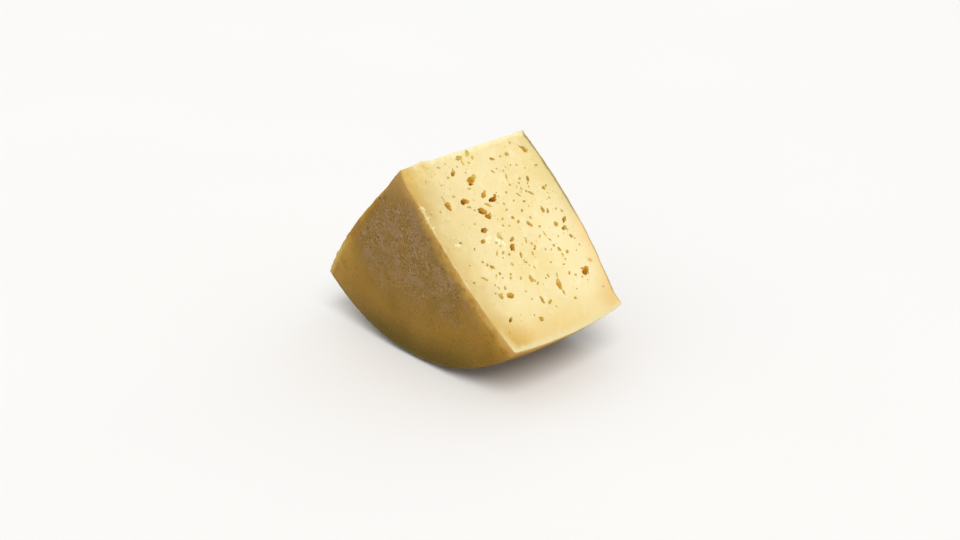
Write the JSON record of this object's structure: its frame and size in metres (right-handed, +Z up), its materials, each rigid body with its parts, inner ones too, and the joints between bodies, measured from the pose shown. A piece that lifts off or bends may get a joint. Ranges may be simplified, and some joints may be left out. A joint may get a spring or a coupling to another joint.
{
  "type": "alpine cheese",
  "caption": "Quarter of an alpine cheese wheel standing on its curved rind, tip up, with small round eyes in both pale cut faces and a mottled brown rind.",
  "frame": {"origin": "middle of the small flat on the curved rind that the cheese rests on, straight under the wheel's axis", "axes": "+Z up, +Y along the wheel's axis from the shown flat side to the hidden one, +X towards the shown cut face"},
  "size_m": [0.2113, 0.1296, 0.1536],
  "materials": {
    "cheese": "satin paste with a dry mottled brown rind"
  },
  "bodies": {
    "root": {"cheese_wedge": "cheese"}
  },
  "joints": []
}
